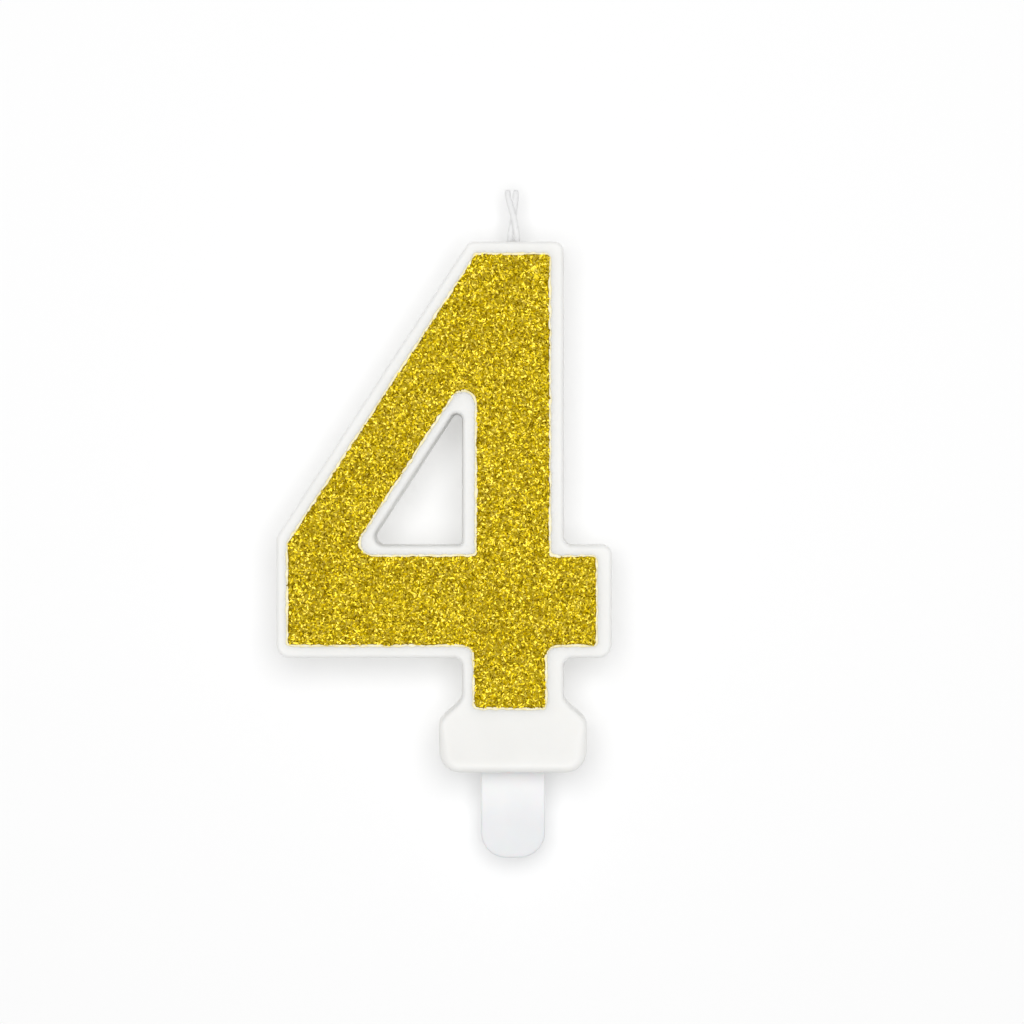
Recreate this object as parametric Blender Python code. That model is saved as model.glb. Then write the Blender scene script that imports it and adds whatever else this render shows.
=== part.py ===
"""Number birthday candle: a cast wax numeral 4 with a glitter face, a two-ply wick and a plastic cake pick.

Metres, +Z up, and the glitter face looks along -Y. The origin is the middle of the foot's underside,
where the foot rests on the icing. The pick stays in the cake, and everything else lifts off it along +Z.
"""

import math

import bmesh
import bpy
from mathutils import Vector

MM = 0.001

# Clearances
GAP = 0.3 * MM  # between a piece and the hole or slot that holds it
COAT_GAP = 0.1 * MM  # under each flat coat of the face, which is thinner than GAP

# Numeral, measured up from the foot's underside and sideways from the stem's centre
NUMERAL_TOP = 70.0 * MM
NUMERAL_DEPTH = 9.0 * MM
STEM_WIDTH = 13.3 * MM
BAR_BOTTOM = 15.1 * MM
BAR_HEIGHT = 14.8 * MM
BAR_LEFT = 31.2 * MM
BAR_RIGHT = 13.0 * MM
TIP_RISE = 1.1 * MM  # how far above the crossbar's top the slanted side meets its left end
SLANT_TOP = 5.8 * MM  # how far left of the stem's centre the flat top ends
STROKE_WIDTH = 10.6 * MM  # across the slanted stroke
CORNER = 1.2 * MM  # corner rounding in the front view
BAR_LOW_CORNER = 1.7 * MM  # the crossbar's two lower corners
COUNTER_CORNER = 0.6 * MM  # the counter's square corner, beside the stem
COUNTER_TOP_CORNER = 0.8 * MM
EDGE = 0.5 * MM  # rounding where the faces turn into the sides

# Foot
FOOT_WIDTH = 19.4 * MM
FOOT_DEPTH = 12.0 * MM
FOOT_SIDE = 6.1 * MM  # height of its straight sides, corner included
SHOULDER = 4.1 * MM  # height of the curve from the foot in to the stem, seen from the front
FACE_SHOULDER = 6.0 * MM  # the same, seen from the side
FOOT_CORNER = 2.8 * MM  # bottom corners in the front view
FOOT_EDGE = 1.8 * MM  # bottom edges in the side view
FOOT_ROUND = 1.6 * MM  # upright edges
FOOT_TUCK = 0.1 * MM  # how far the foot's top lies inside the stem that it joins

# Glitter face
GLUE_DEPTH = 0.2 * MM
GLITTER_DEPTH = 0.3 * MM
GLUE_MARGIN = 0.25 * MM  # bare glue around the glitter
FIELD_RIM = 1.7 * MM  # bare wax around the glitter: top, slanted and lower sides
FIELD_RIM_LEFT = 1.5 * MM  # at the crossbar's left end
FIELD_RIM_STEM = 1.85 * MM  # down both sides of the stem
FIELD_RIM_END = 2.05 * MM  # at the crossbar's right end
FIELD_RIM_ARM = 1.45 * MM  # along the top of the crossbar's right arm
FIELD_RIM_NECK_LEFT = 1.55 * MM
FIELD_RIM_NECK_RIGHT = 2.35 * MM
FIELD_RIM_COUNTER = 1.4 * MM  # along the counter's slanted and lower sides
FIELD_BOTTOM = 8.5 * MM  # lower end of the glitter, above the foot's underside
FIELD_CORNER = 0.5 * MM
FIELD_NECK_CORNER = 1.6 * MM  # where the neck meets the crossbar
FIELD_COUNTER_CORNER = 1.8 * MM  # the field's sharp corners around the counter

# Wick
WICK_FREE = 6.9 * MM
PLY_DIAMETER = 0.78 * MM
PLY_GAP = 0.12 * MM  # between the two plies, which are twisted tight
TWIST_PITCH = 14.0 * MM
WICK_SPLAY = 0.25 * MM  # how far each ply opens outwards at the tip
WICK_WEB = 2.5 * MM  # wax between the wick's lower end and the pick's slot
PLY_POINTS_PER_TURN = 12

# Pick
PICK_WIDTH = 8.5 * MM
PICK_THICKNESS = 1.2 * MM
PICK_FREE = 11.5 * MM
PICK_TIP_CORNER = 3.4 * MM
TONGUE_LENGTH = 10.0 * MM
TONGUE_CORNER = 1.0 * MM
PICK_EDGE = 0.25 * MM

# Worked out
STEM_HALF = STEM_WIDTH / 2
BAR_TOP = BAR_BOTTOM + BAR_HEIGHT
TIP_HEIGHT = BAR_TOP + TIP_RISE
SLOT_TOP = TONGUE_LENGTH + GAP
WICK_BOTTOM = SLOT_TOP + WICK_WEB
PLY_SPACING = PLY_DIAMETER + PLY_GAP  # between the two plies' centres
WICK_HOLE_RADIUS = (PLY_SPACING + PLY_DIAMETER) / 2 + GAP
FACE_Y = -NUMERAL_DEPTH / 2
GLUE_Y = FACE_Y - COAT_GAP - GLUE_DEPTH / 2
GLITTER_Y = FACE_Y - 2 * COAT_GAP - GLUE_DEPTH - GLITTER_DEPTH / 2
# The front shoulder starts below the coats, so that they lie on a flat face down to their end.
FACE_SHOULDER_TOP = FIELD_BOTTOM - GLUE_MARGIN - GAP

ARC_STEPS = 6  # segments in each rounded corner of an outline
FOOT_ROWS = 7  # rows of the foot's mesh along each curved stretch
CUTTER_REACH = 1.0 * MM  # how far a cutter runs past the face that it opens


def clear_scene():
    for obj in list(bpy.data.objects):
        bpy.data.objects.remove(obj, do_unlink=True)


def new_collection(name, hidden=False):
    collection = bpy.data.collections.new(name)
    bpy.context.scene.collection.children.link(collection)
    collection.hide_render = hidden
    return collection


def new_material(name, color, roughness, alpha=1.0):
    material = bpy.data.materials.new(name)
    material.use_nodes = True
    shader = material.node_tree.nodes["Principled BSDF"]
    shader.inputs["Base Color"].default_value = (*color, 1.0)
    shader.inputs["Roughness"].default_value = roughness
    shader.inputs["Metallic"].default_value = 0.0
    shader.inputs["Alpha"].default_value = alpha
    return material


# Outlines, as points (x, z) seen from the front, counter-clockwise


def line_meeting(a, b, c, d):
    """Where the line through a and b meets the line through c and d."""
    ab, cd = b - a, d - c
    along = (c - a).cross(cd) / ab.cross(cd)
    return a + along * ab


def inset(points, distances):
    """The outline with each side moved inwards, where side n runs from point n to point n + 1."""
    sides = []
    for n, distance in enumerate(distances):
        start, end = points[n], points[(n + 1) % len(points)]
        along = (end - start).normalized()
        inward = Vector((-along.y, along.x)) * distance
        sides.append((start + inward, end + inward))
    return [line_meeting(*sides[n - 1], *sides[n]) for n in range(len(sides))]


def rounded(points, radii):
    """The outline with an arc in place of each corner."""
    found = []
    for n, corner in enumerate(points):
        before = (points[n - 1] - corner).normalized()
        after = (points[(n + 1) % len(points)] - corner).normalized()
        half_angle = before.angle(after) / 2
        centre = corner + (before + after).normalized() * radii[n] / math.sin(half_angle)
        start = corner + before * radii[n] / math.tan(half_angle) - centre
        end = corner + after * radii[n] / math.tan(half_angle) - centre
        turn = math.atan2(start.cross(end), start.dot(end))
        for step in range(ARC_STEPS + 1):
            angle = turn * step / ARC_STEPS
            found.append(
                centre
                + Vector(
                    (
                        start.x * math.cos(angle) - start.y * math.sin(angle),
                        start.x * math.sin(angle) + start.y * math.cos(angle),
                    )
                )
            )
    return found


def numeral_points(bottom):
    """The numeral's sharp corners, from the stem's lower left one, with the stem ending at this height."""
    return [
        Vector((-STEM_HALF, bottom)),
        Vector((STEM_HALF, bottom)),
        Vector((STEM_HALF, BAR_BOTTOM)),
        Vector((BAR_RIGHT, BAR_BOTTOM)),
        Vector((BAR_RIGHT, BAR_TOP)),
        Vector((STEM_HALF, BAR_TOP)),
        Vector((STEM_HALF, NUMERAL_TOP)),
        Vector((-SLANT_TOP, NUMERAL_TOP)),
        Vector((-BAR_LEFT, TIP_HEIGHT)),
        Vector((-BAR_LEFT, BAR_BOTTOM)),
        Vector((-STEM_HALF, BAR_BOTTOM)),
    ]


def counter_points():
    """The three sharp corners of the triangular hole: left, beside the stem, and top."""
    slant_top, slant_low = Vector((-SLANT_TOP, NUMERAL_TOP)), Vector((-BAR_LEFT, TIP_HEIGHT))
    along = (slant_low - slant_top).normalized()
    inward = Vector((-along.y, along.x)) * STROKE_WIDTH
    slant = slant_top + inward, slant_low + inward
    left = line_meeting(*slant, Vector((-BAR_LEFT, BAR_TOP)), Vector((0, BAR_TOP)))
    top = line_meeting(*slant, Vector((-STEM_HALF, BAR_TOP)), Vector((-STEM_HALF, NUMERAL_TOP)))
    return [left, Vector((-STEM_HALF, BAR_TOP)), top]


def numeral_outlines(bottom):
    outer = numeral_points(bottom)
    corners = [CORNER] * len(outer)
    corners[3] = corners[9] = BAR_LOW_CORNER
    return [
        rounded(outer, corners),
        rounded(counter_points(), [CORNER, COUNTER_CORNER, COUNTER_TOP_CORNER]),
    ]


def field_outlines(margin):
    """The glitter field's outline and its hole around the counter, both let out by this margin."""
    rims = [
        margin,  # the lower end, which numeral_points already lets out
        FIELD_RIM_NECK_RIGHT,
        FIELD_RIM,
        FIELD_RIM_END,
        FIELD_RIM_ARM,
        FIELD_RIM_STEM,
        FIELD_RIM,
        FIELD_RIM,
        FIELD_RIM_LEFT,
        FIELD_RIM,
        FIELD_RIM_NECK_LEFT,
    ]
    outer = inset(numeral_points(FIELD_BOTTOM - margin), [rim - margin for rim in rims])
    corners = [FIELD_CORNER] * len(outer)
    corners[2] = corners[10] = FIELD_NECK_CORNER
    hole_rims = [FIELD_RIM_COUNTER, FIELD_RIM_STEM, FIELD_RIM_COUNTER]
    hole = inset(counter_points(), [margin - rim for rim in hole_rims])
    return [
        rounded(outer, corners),
        rounded(hole, [FIELD_COUNTER_CORNER, COUNTER_CORNER, FIELD_COUNTER_CORNER]),
    ]


# Solids


def flat_object(name, outlines, y, thickness, edge=0.0):
    """An upright plate of these outlines, centred on y, with this rounding where its faces meet its sides."""
    curve = bpy.data.curves.new(name, "CURVE")
    curve.dimensions = "2D"
    curve.fill_mode = "BOTH"
    curve.extrude = thickness / 2 - edge
    curve.bevel_depth = edge
    curve.offset = -edge
    curve.bevel_resolution = 2
    for outline in outlines:
        spline = curve.splines.new("POLY")
        spline.points.add(len(outline) - 1)
        for point, place in zip(spline.points, outline):
            point.co = (place.x, place.y, 0.0, 1.0)
        spline.use_cyclic_u = True
    obj = bpy.data.objects.new(name, curve)
    obj.location = (0.0, y, 0.0)
    obj.rotation_euler = (math.radians(90), 0.0, 0.0)
    return obj


def as_mesh(curve_object, collection):
    """The mesh of a curve object, its caps welded on, in the curve object's place."""
    bpy.context.scene.collection.objects.link(curve_object)
    graph = bpy.context.evaluated_depsgraph_get()
    mesh = bpy.data.meshes.new_from_object(curve_object.evaluated_get(graph))
    shape = bmesh.new()
    shape.from_mesh(mesh)
    bmesh.ops.remove_doubles(shape, verts=shape.verts, dist=0.001 * MM)
    # Corners that lie in one line give the caps a triangle with no area, which a Boolean would lose.
    caps = [face for face in shape.faces if len(face.verts) == 3]
    inside = [edge for edge in shape.edges if all(len(face.verts) == 3 for face in edge.link_faces)]
    bmesh.ops.beautify_fill(shape, faces=caps, edges=inside)
    bmesh.ops.recalc_face_normals(shape, faces=shape.faces)
    shape.to_mesh(mesh)
    shape.free()
    name, place = curve_object.name, curve_object.matrix_world.copy()
    bpy.data.objects.remove(curve_object, do_unlink=True)
    obj = bpy.data.objects.new(name, mesh)
    obj.matrix_world = place
    collection.objects.link(obj)
    return obj


def smooth_step(t):
    t = min(max(t, 0.0), 1.0)
    return t * t * (3 - 2 * t)


def foot_half_size(height, full, joined, side, corner, shoulder):
    """Half the foot's size at a height: a round bottom corner, a straight side, then a curve in to the stem."""
    if height < corner:
        return full - corner + math.sqrt(max(0.0, corner**2 - (corner - height) ** 2))
    return full + (joined - full) * smooth_step((height - side) / shoulder)


def foot_heights():
    """The heights of the foot's rows: close together where it curves."""
    corner = [FOOT_CORNER * (1 - math.cos(n / FOOT_ROWS * math.pi / 2)) for n in range(FOOT_ROWS + 1)]
    low, top = FOOT_CORNER, FOOT_SIDE + SHOULDER
    rows = 2 * FOOT_ROWS
    return corner + [low + (top - low) * n / rows for n in range(1, rows + 1)]


def foot_row(height):
    """One level section of the foot, a rectangle with round corners."""
    half_x = foot_half_size(
        height, FOOT_WIDTH / 2, STEM_HALF - FOOT_TUCK, FOOT_SIDE, FOOT_CORNER, SHOULDER
    )
    half_y = foot_half_size(
        height,
        FOOT_DEPTH / 2,
        NUMERAL_DEPTH / 2 - FOOT_TUCK,
        FACE_SHOULDER_TOP - FACE_SHOULDER,
        FOOT_EDGE,
        FACE_SHOULDER,
    )
    grown = (half_y - NUMERAL_DEPTH / 2) / (FOOT_DEPTH / 2 - NUMERAL_DEPTH / 2)
    radius = EDGE + (FOOT_ROUND - EDGE) * min(max(grown, 0.0), 1.0)
    corners = [
        Vector((-half_x, -half_y)),
        Vector((half_x, -half_y)),
        Vector((half_x, half_y)),
        Vector((-half_x, half_y)),
    ]
    return [Vector((p.x, p.y, height)) for p in rounded(corners, [radius] * 4)]


def make_foot(collection):
    """The foot, a loft of its level sections."""
    shape = bmesh.new()
    rows = [[shape.verts.new(p) for p in foot_row(height)] for height in foot_heights()]
    count = len(rows[0])
    for low, high in zip(rows, rows[1:]):
        for n in range(count):
            m = (n + 1) % count
            shape.faces.new((low[n], low[m], high[m], high[n]))
    shape.faces.new(list(reversed(rows[0])))
    shape.faces.new(rows[-1])
    mesh = bpy.data.meshes.new("foot_block")
    shape.to_mesh(mesh)
    shape.free()
    obj = bpy.data.objects.new("foot_block", mesh)
    collection.objects.link(obj)
    return obj


def make_wick_channel(collection):
    length = NUMERAL_TOP - WICK_BOTTOM + GAP + CUTTER_REACH
    middle = WICK_BOTTOM - GAP + length / 2
    bpy.ops.mesh.primitive_cylinder_add(
        vertices=24, radius=WICK_HOLE_RADIUS, depth=length, location=(0.0, 0.0, middle)
    )
    return filed(bpy.context.object, "wick_channel", collection)


def make_pick_slot(collection):
    bpy.ops.mesh.primitive_cube_add(size=1.0, location=(0.0, 0.0, (SLOT_TOP - CUTTER_REACH) / 2))
    obj = filed(bpy.context.object, "pick_slot", collection)
    obj.scale = (PICK_WIDTH + 2 * GAP, PICK_THICKNESS + 2 * GAP, SLOT_TOP + CUTTER_REACH)
    return obj


def filed(obj, name, collection):
    """The object renamed and moved to this collection only."""
    obj.name = name
    for owner in list(obj.users_collection):
        owner.objects.unlink(obj)
    collection.objects.link(obj)
    return obj


def add_boolean(obj, other, operation):
    modifier = obj.modifiers.new(other.name, "BOOLEAN")
    modifier.object = other
    modifier.operation = operation
    other.hide_render = True
    other.display_type = "WIRE"


def make_wax_body(parts, cutters):
    """The casting: the numeral, its foot, the channel around the wick and the slot for the pick."""
    hidden_end = FOOT_CORNER + CORNER  # the stem runs down into the foot, and ends inside it
    plate = flat_object("wax_body", numeral_outlines(hidden_end), 0.0, NUMERAL_DEPTH, EDGE)
    obj = as_mesh(plate, parts)
    add_boolean(obj, make_foot(cutters), "UNION")
    add_boolean(obj, make_wick_channel(cutters), "DIFFERENCE")
    add_boolean(obj, make_pick_slot(cutters), "DIFFERENCE")
    return obj


def wick_point(height, ply):
    """The centre of one ply, 0 or 1: a helix side by side where it leaves the wax, opening at the tip."""
    above = height - NUMERAL_TOP
    turn = 2 * math.pi * above / TWIST_PITCH + math.pi * ply
    opened = smooth_step((above - WICK_FREE / 2) / (WICK_FREE / 2))
    radius = PLY_SPACING / 2 + WICK_SPLAY * opened
    return -radius * math.cos(turn), radius * math.sin(turn), height


def make_wick_ply(name, ply, collection):
    length = NUMERAL_TOP + WICK_FREE - WICK_BOTTOM
    count = math.ceil(length / TWIST_PITCH * PLY_POINTS_PER_TURN)
    curve = bpy.data.curves.new(name, "CURVE")
    curve.dimensions = "3D"
    curve.bevel_depth = PLY_DIAMETER / 2
    curve.bevel_resolution = 2
    curve.use_fill_caps = True
    spline = curve.splines.new("POLY")
    spline.points.add(count)
    for n, point in enumerate(spline.points):
        point.co = (*wick_point(WICK_BOTTOM + length * n / count, ply), 1.0)
    obj = bpy.data.objects.new(name, curve)
    collection.objects.link(obj)
    return obj


def make_pick(collection):
    """The strip that is pushed into the cake: round below, with a tongue up inside the foot."""
    half = PICK_WIDTH / 2
    corners = [
        Vector((-half, -PICK_FREE)),
        Vector((half, -PICK_FREE)),
        Vector((half, TONGUE_LENGTH)),
        Vector((-half, TONGUE_LENGTH)),
    ]
    radii = [PICK_TIP_CORNER, PICK_TIP_CORNER, TONGUE_CORNER, TONGUE_CORNER]
    plate = flat_object("pick", [rounded(corners, radii)], 0.0, PICK_THICKNESS, PICK_EDGE)
    return as_mesh(plate, collection)


def make_coat(name, margin, y, thickness, collection):
    return as_mesh(flat_object(name, field_outlines(margin), y, thickness), collection)


def shade(obj, material, smooth_below):
    obj.data.materials.clear()
    obj.data.materials.append(material)
    if obj.type == "MESH":
        obj.data.shade_smooth()
        obj.data.set_sharp_from_angle(angle=math.radians(smooth_below))


def main():
    clear_scene()
    parts = new_collection("number_birthday_candle")
    cutters = new_collection("cutters", hidden=True)
    wax = new_material("wax_white", (0.90, 0.89, 0.86), 0.45)
    glue = new_material("glue_clear", (0.93, 0.88, 0.62), 0.2, alpha=0.6)
    glitter = new_material("glitter_gold", (0.52, 0.40, 0.02), 0.3)
    cotton = new_material("cotton_white", (0.88, 0.87, 0.84), 0.9)
    plastic = new_material("plastic_frosted", (0.86, 0.88, 0.90), 0.5, alpha=0.85)

    lift = bpy.data.objects.new("candle_lift_axis", None)
    parts.objects.link(lift)
    candle = {
        make_wax_body(parts, cutters): wax,
        make_coat("glue_film", GLUE_MARGIN, GLUE_Y, GLUE_DEPTH, parts): glue,
        make_coat("glitter_coat", 0.0, GLITTER_Y, GLITTER_DEPTH, parts): glitter,
        make_wick_ply("wick_ply_left", 0, parts): cotton,
        make_wick_ply("wick_ply_right", 1, parts): cotton,
    }
    for obj, material in candle.items():
        shade(obj, material, 40)
        obj.parent = lift
    shade(make_pick(parts), plastic, 40)


main()
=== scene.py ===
import math

import bpy
import numpy as np
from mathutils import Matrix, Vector
from mathutils.geometry import delaunay_2d_cdt


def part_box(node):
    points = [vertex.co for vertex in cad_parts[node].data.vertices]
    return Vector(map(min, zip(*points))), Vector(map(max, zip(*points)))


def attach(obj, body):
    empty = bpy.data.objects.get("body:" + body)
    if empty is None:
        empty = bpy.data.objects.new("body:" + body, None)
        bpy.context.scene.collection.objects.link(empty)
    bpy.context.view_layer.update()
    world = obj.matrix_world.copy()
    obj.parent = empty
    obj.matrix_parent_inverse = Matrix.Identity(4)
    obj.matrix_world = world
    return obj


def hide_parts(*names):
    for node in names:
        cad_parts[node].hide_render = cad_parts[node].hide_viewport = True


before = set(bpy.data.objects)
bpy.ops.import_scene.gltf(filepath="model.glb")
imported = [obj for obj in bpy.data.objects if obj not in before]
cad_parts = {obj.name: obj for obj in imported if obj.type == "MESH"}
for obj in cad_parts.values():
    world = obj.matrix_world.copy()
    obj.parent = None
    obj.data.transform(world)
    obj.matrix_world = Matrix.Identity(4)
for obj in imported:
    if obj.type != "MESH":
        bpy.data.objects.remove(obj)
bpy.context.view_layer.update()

# A number candle: a cast wax figure 4 with a gold glitter face, a two-ply wick and a frosted pick.
# Metres. The face looks along -Y, +Z is up the stem, and the origin is under the middle of the foot.

mm = 0.001
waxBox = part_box("wax_body")
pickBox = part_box("pick")
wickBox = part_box("wick_ply_left")

# ---- shapes as whole arrays


def unit(vectors):
    # each vector divided by its own length
    return vectors / np.linalg.norm(vectors, axis=-1, keepdims=True)


def lineMeeting(a, b, c, d):
    # the place where the line through a and b meets the line through c and d
    ab, cd = b - a, d - c
    turn = ab[0] * cd[1] - ab[1] * cd[0]
    return a + ab * (((c - a)[0] * cd[1] - (c - a)[1] * cd[0]) / turn)


def insetOutline(corners, distances):
    # each side moved inwards by its own distance, and each corner put where the moved sides meet
    following = np.roll(corners, -1, 0)
    along = unit(following - corners)
    inward = np.stack([-along[:, 1], along[:, 0]], 1) * np.asarray(distances, float)[:, None]
    starts, ends = corners + inward, following + inward
    sides = range(len(corners))
    return np.array([lineMeeting(starts[n - 1], ends[n - 1], starts[n], ends[n]) for n in sides])


def roundedOutline(corners, radii, steps=10):
    # an arc in place of each corner: its centre lies on the bisector, radius / sin(half angle) away
    radii = np.asarray(radii, float)
    before = unit(np.roll(corners, 1, 0) - corners)
    after = unit(np.roll(corners, -1, 0) - corners)
    half = np.arccos(np.clip((before * after).sum(1), -1, 1)) / 2
    centre = corners + unit(before + after) * (radii / np.sin(half))[:, None]
    start = corners + before * (radii / np.tan(half))[:, None] - centre
    end = corners + after * (radii / np.tan(half))[:, None] - centre
    turn = np.arctan2(start[:, 0] * end[:, 1] - start[:, 1] * end[:, 0], (start * end).sum(1))
    angle = turn[:, None] * np.linspace(0, 1, steps)
    across = np.stack([-start[:, 1], start[:, 0]], 1)
    cosine, sine = np.cos(angle)[..., None], np.sin(angle)[..., None]
    arcs = centre[:, None] + start[:, None] * cosine + across[:, None] * sine
    return arcs.reshape(-1, 2)


def evenSteps(outline, spacing):
    # every side longer than the spacing is cut into equal steps, and doubled points are dropped
    gaps = np.linalg.norm(np.roll(outline, -1, 0) - outline, axis=1)
    outline = outline[gaps > 1e-7]
    sides = np.roll(outline, -1, 0) - outline
    pieces = np.maximum(1, np.ceil(np.linalg.norm(sides, axis=1) / spacing)).astype(int)
    at = np.repeat(np.arange(len(outline)), pieces)
    step = (np.arange(len(at)) - np.repeat(np.cumsum(pieces) - pieces, pieces)) / pieces[at]
    return outline[at] + sides[at] * step[:, None]


def outwardNormals(outline):
    # at right angles to the mean of the two sides that meet at each point
    along = unit(np.roll(outline, -1, 0) - outline)
    mean = unit(along + np.roll(along, 1, 0))
    return np.stack([mean[:, 1], -mean[:, 0]], 1)


def smoothStep(t):
    # 3 t squared less 2 t cubed, with t held between 0 and 1
    t = np.clip(t, 0, 1)
    return t * t * (3 - 2 * t)


def softWave(x, z, length, seed):
    # 1.6 times the mean of seven sine waves of about this length, which cross at random angles
    draw = np.random.default_rng(seed)
    turn = draw.uniform(0, 2 * math.pi, 7)
    size = 2 * math.pi / (length * draw.uniform(0.7, 1.5, 7))
    along = np.multiply.outer(x, np.cos(turn)) + np.multiply.outer(z, np.sin(turn))
    return np.sin(along * size + draw.uniform(0, 2 * math.pi, 7)).mean(-1) * 1.6


def insideOutline(points, outline):
    # a point is inside when a level line from it to the right crosses an odd number of sides
    start, end = outline, np.roll(outline, -1, 0)
    rise = np.where(end[:, 1] == start[:, 1], 1.0, end[:, 1] - start[:, 1])
    found = []
    for part in np.array_split(points, len(points) // 3000 + 1):
        x, z = part[:, :1], part[:, 1:]
        crosses = (start[:, 1] > z) != (end[:, 1] > z)
        at = start[:, 0] + (z - start[:, 1]) / rise * (end[:, 0] - start[:, 0])
        found.append((crosses & (x < at)).sum(1) % 2 == 1)
    return np.concatenate(found)


def edgeDistance(points, outlines):
    # how far each point is from the nearest point of the outlines
    rim = np.concatenate(outlines)
    parts = np.array_split(points, len(points) // 3000 + 1)
    return np.concatenate([np.linalg.norm(part[:, None] - rim, axis=2).min(1) for part in parts])


def insideFace(points, outlines):
    # inside the first outline and outside the holes
    kept = insideOutline(points, outlines[0])
    for hole in outlines[1:]:
        kept &= ~insideOutline(points, hole)
    return kept


def netOver(outlines, step):
    # a staggered grid inside the outlines, joined to their points by triangles that keep their sides
    rim = np.concatenate(outlines)
    low, high = rim.min(0), rim.max(0)
    x, z = np.meshgrid(np.arange(low[0], high[0], step), np.arange(low[1], high[1], step * 0.866))
    x[1::2] += step / 2
    grid = np.stack([x.ravel(), z.ravel()], 1)
    grid = grid[insideFace(grid, outlines)]
    grid = grid[edgeDistance(grid, outlines) > step * 0.55]
    points = np.concatenate([rim, grid])
    sides, first = [], 0
    for outline in outlines:
        n = np.arange(len(outline))
        sides.append(np.stack([first + n, first + np.roll(n, -1)], 1))
        first += len(outline)
    flat = [Vector(point) for point in points / mm]
    found = delaunay_2d_cdt(flat, np.concatenate(sides).tolist(), [], 0, 1e-5, True)
    source = np.array([origin[0] for origin in found[3]])
    triangles = source[np.array(found[2])]
    a, b, c = points[triangles].transpose(1, 0, 2)
    triangles = triangles[insideFace((a + b + c) / 3, outlines)]
    a, b, c = points[triangles].transpose(1, 0, 2)
    area = (b - a)[:, 0] * (c - a)[:, 1] - (b - a)[:, 1] * (c - a)[:, 0]
    triangles[area < 0] = triangles[area < 0][:, ::-1]
    return grid, triangles


def meshPiece(name, places, faces):
    # faces is a list of arrays, one for each number of corners
    mesh = bpy.data.meshes.new(name)
    mesh.vertices.add(len(places))
    mesh.vertices.foreach_set("co", np.asarray(places, np.float32).ravel())
    sizes = np.concatenate([np.full(len(group), group.shape[1]) for group in faces])
    corners = np.concatenate([group.ravel() for group in faces])
    mesh.loops.add(len(corners))
    mesh.loops.foreach_set("vertex_index", corners.astype(np.int32))
    mesh.polygons.add(len(sizes))
    mesh.polygons.foreach_set("loop_start", (np.cumsum(sizes) - sizes).astype(np.int32))
    mesh.update(calc_edges=True)
    mesh.validate()
    mesh.shade_smooth()
    piece = bpy.data.objects.new(name, mesh)
    bpy.context.scene.collection.objects.link(piece)
    return piece


def plateFaces(rowSets, outlineCounts, frontNet, backNet):
    # strips between the rows carried round each outline, and a net laid on the first and the last row
    strips, firstRow, lastRow, first = [], [], [], 0
    for rows, count in zip(rowSets, outlineCounts):
        n = np.arange(count)
        m = np.roll(n, -1)
        base = first + np.arange(rows - 1)[:, None] * count
        strips.append(np.stack([base + n, base + count + n, base + count + m, base + m], 2).reshape(-1, 4))
        firstRow.append(first + n)
        lastRow.append(first + (rows - 1) * count + n)
        first += rows * count
    front = np.concatenate([*firstRow, first + np.arange(len(frontNet[0]))])[frontNet[1]]
    back = np.concatenate([*lastRow, first + len(frontNet[0]) + np.arange(len(backNet[0]))])[backNet[1]]
    return [np.concatenate(strips), np.concatenate([front, back[:, ::-1]])]


def platePiece(name, outlines, carry, frontRelief, backRelief, step):
    # carry(outline) gives rows of places from the front to the back, and each relief gives y over its net
    rows = [carry(outline) for outline in outlines]
    frontRims = [row[0][:, [0, 2]] for row in rows]
    backRims = [row[-1][:, [0, 2]] for row in rows]
    frontNet, backNet = netOver(frontRims, step), netOver(backRims, step)
    places = [row.reshape(-1, 3) for row in rows]
    for (grid, _), rims, relief in ((frontNet, frontRims, frontRelief), (backNet, backRims, backRelief)):
        y = relief(grid[:, 0], grid[:, 1], edgeDistance(grid, rims))
        places.append(np.stack([grid[:, 0], y, grid[:, 1]], 1))
    faces = plateFaces([len(row) for row in rows], [row.shape[1] for row in rows], frontNet, backNet)
    return meshPiece(name, np.concatenate(places), faces)


# ---- finishes


class Wire:  # a node's output, so that shader maths reads as plain sums
    def __init__(self, finish, socket):
        self.finish = finish
        self.socket = socket

    def maths(self, operation, first, second):
        return self.finish.node("Math", {"operation": operation}, {0: first, 1: second})

    def __add__(self, other):
        return self.maths("ADD", self, other)

    def __sub__(self, other):
        return self.maths("SUBTRACT", self, other)

    def __rsub__(self, other):
        return self.maths("SUBTRACT", other, self)

    def __mul__(self, other):
        return self.maths("MULTIPLY", self, other)

    __radd__ = __add__
    __rmul__ = __mul__


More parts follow.
